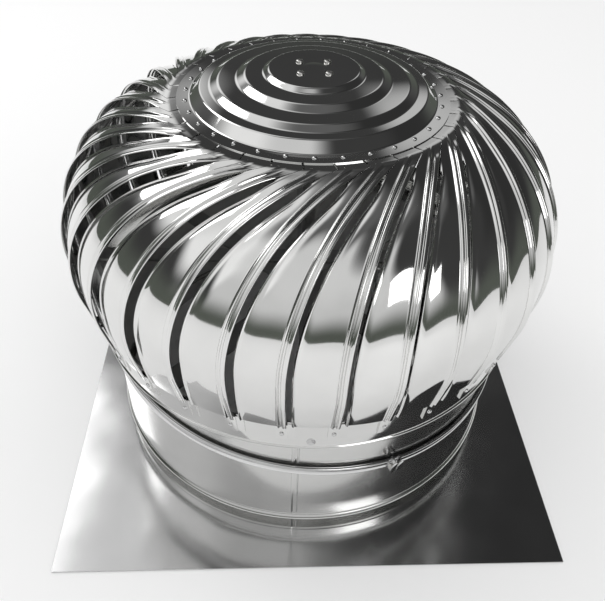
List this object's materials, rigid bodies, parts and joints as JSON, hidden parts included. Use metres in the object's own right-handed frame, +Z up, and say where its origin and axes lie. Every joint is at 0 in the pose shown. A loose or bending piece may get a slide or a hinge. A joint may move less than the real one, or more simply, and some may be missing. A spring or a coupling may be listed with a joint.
{
  "type": "roof turbine ventilator",
  "caption": "Wind-driven roof ventilator: a bulb of curved louvre blades spins on a sheet neck over a square flashing plate.",
  "frame": {"origin": "centre of the underside of the flashing plate, on the neck axis", "axes": "+Z up along the spin axis, +X and +Y square to the sides of the flashing plate"},
  "size_m": [0.6, 0.6, 0.4756],
  "materials": {
    "blade_sheet": "mirror-polished stainless sheet",
    "head_sheet": "mirror-polished stainless sheet",
    "neck_sheet": "polished stainless sheet",
    "band_strip": "polished stainless strip",
    "plate_sheet": "polished stainless sheet",
    "flat_bar": "zinc-plated bar",
    "bolt_steel": "zinc-plated",
    "rivet_steel": "bright",
    "turned_steel": "turned",
    "bearing_steel": "ground"
  },
  "bodies": {
    "base": {"base_plate": "plate_sheet", "lower_collar": "neck_sheet", "clamp_band": "band_strip", "clamp_bolt": "bolt_steel", "clamp_nut": "bolt_steel"},
    "throat": {"upper_throat": "neck_sheet", "shaft_bracket": "flat_bar", "bracket_rivets": "rivet_steel", "centre_shaft": "bearing_steel", "shaft_nuts": "bolt_steel", "shaft_nut_top": "bolt_steel", "lower_inner_ring": "bearing_steel", "upper_inner_ring": "bearing_steel"},
    "rotor": {"top_disc": "head_sheet", "blade_01": "blade_sheet", "blade_02": "blade_sheet", "blade_03": "blade_sheet", "blade_04": "blade_sheet", "blade_05": "blade_sheet", "blade_06": "blade_sheet", "blade_07": "blade_sheet", "blade_08": "blade_sheet", "blade_09": "blade_sheet", "blade_10": "blade_sheet", "blade_11": "blade_sheet", "blade_12": "blade_sheet", "blade_13": "blade_sheet", "blade_14": "blade_sheet", "blade_15": "blade_sheet", "blade_16": "blade_sheet", "blade_17": "blade_sheet", "blade_18": "blade_sheet", "blade_19": "blade_sheet", "blade_20": "blade_sheet", "blade_21": "blade_sheet", "blade_22": "blade_sheet", "blade_23": "blade_sheet", "blade_24": "blade_sheet", "blade_25": "blade_sheet", "blade_26": "blade_sheet", "blade_27": "blade_sheet", "blade_28": "blade_sheet", "blade_29": "blade_sheet", "blade_30": "blade_sheet", "blade_31": "blade_sheet", "blade_32": "blade_sheet", "top_rivets": "rivet_steel", "lower_ring": "head_sheet", "ring_rivets": "rivet_steel", "bearing_housing": "turned_steel", "housing_bolts": "bolt_steel", "housing_nuts": "bolt_steel", "upper_outer_ring": "bearing_steel", "rotor_spider": "flat_bar", "spider_rivets": "rivet_steel", "lower_hub": "turned_steel", "lower_outer_ring": "bearing_steel"}
  },
  "joints": [
    {"name": "neck_swivel", "type": "hinge", "parent": "base", "child": "throat", "pos_m": [0, 0, 0.1383], "axis": [0.0956, -0.0358, 0.9948], "range_deg": [-180, 180]},
    {"name": "rotor_spin", "type": "hinge", "parent": "throat", "child": "rotor", "pos_m": [0, 0, 0.45], "axis": [0, 0, 1], "continuous": true}
  ]
}
